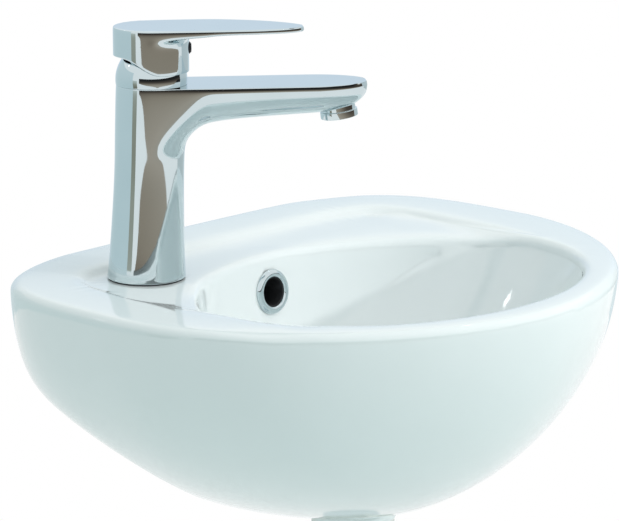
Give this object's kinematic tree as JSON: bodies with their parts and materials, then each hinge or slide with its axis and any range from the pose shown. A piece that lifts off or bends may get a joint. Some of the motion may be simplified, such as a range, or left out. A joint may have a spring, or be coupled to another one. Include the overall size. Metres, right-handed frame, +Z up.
{
  "type": "wall-hung oval basin with side mixer",
  "caption": "Small wall-hung hand basin of glazed china, straight at the wall and oval in front, with a single-lever mixer set to one side, a ringed overflow and a push plug waste.",
  "frame": {"origin": "midway between the two wall fixing holes, on the wall plane", "axes": "+X to the right seen from the room, +Y into the wall, +Z up"},
  "size_m": [0.3998, 0.3298, 0.3623],
  "materials": {
    "china": "white glaze",
    "chrome": "polished chrome plate",
    "brass": "machined",
    "rubber": "matt",
    "white_plastic": "moulded",
    "grey_plastic": "moulded",
    "disc_ceramic": "lapped",
    "steel": "plain"
  },
  "bodies": {
    "fixed": {"basin": "china", "overflow_ring": "chrome", "tap_body": "chrome", "tap_foot_gasket": "rubber", "cartridge_housing": "white_plastic", "cartridge_foot_seal": "rubber", "fixed_disc": "disc_ceramic", "cartridge_nut": "brass", "dome_cap": "chrome", "aerator_housing": "chrome", "aerator_insert": "grey_plastic", "aerator_seal": "rubber", "mounting_stud": "steel", "clamp_rubber": "rubber", "clamp_plate": "steel", "stud_nut": "brass", "waste_body": "chrome", "waste_top_seal": "rubber", "waste_bottom_seal": "white_plastic", "waste_backnut": "white_plastic", "plug_spring": "steel"},
    "rotor": {"cartridge_rotor": "grey_plastic", "spindle_pin": "steel"},
    "lever": {"lever_spindle": "brass", "lever_handle": "chrome", "handle_grub_screw": "steel", "handle_plug": "rubber"},
    "disc": {"moving_disc": "disc_ceramic", "disc_carrier": "grey_plastic"},
    "plug": {"waste_plug": "chrome", "plug_seal": "rubber", "plug_stem": "brass"}
  },
  "joints": [
    {"name": "handle_turn", "type": "hinge", "parent": "fixed", "child": "rotor", "pos_m": [-0.09553, -0.07902, 0.1683], "axis": [0, 0, 1], "range_deg": [-50, 50]},
    {"name": "handle_lift", "type": "hinge", "parent": "rotor", "child": "lever", "pos_m": [-0.09553, -0.07902, 0.1683], "axis": [-0.6561, -0.7547, 0], "range_deg": [0, 25]},
    {"name": "disc_slide", "type": "slide", "parent": "rotor", "child": "disc", "axis": [0.7547, -0.6561, 0], "range_m": [0, 0.00873]},
    {"name": "plug_slide", "type": "slide", "parent": "fixed", "child": "plug", "axis": [0, 0, 1], "range_m": [0, 0.009], "deforming": ["plug_spring"]}
  ],
  "couplings": [
    {"joint": "disc_slide", "follows": "handle_lift", "m_per_rad": 0.02}
  ]
}
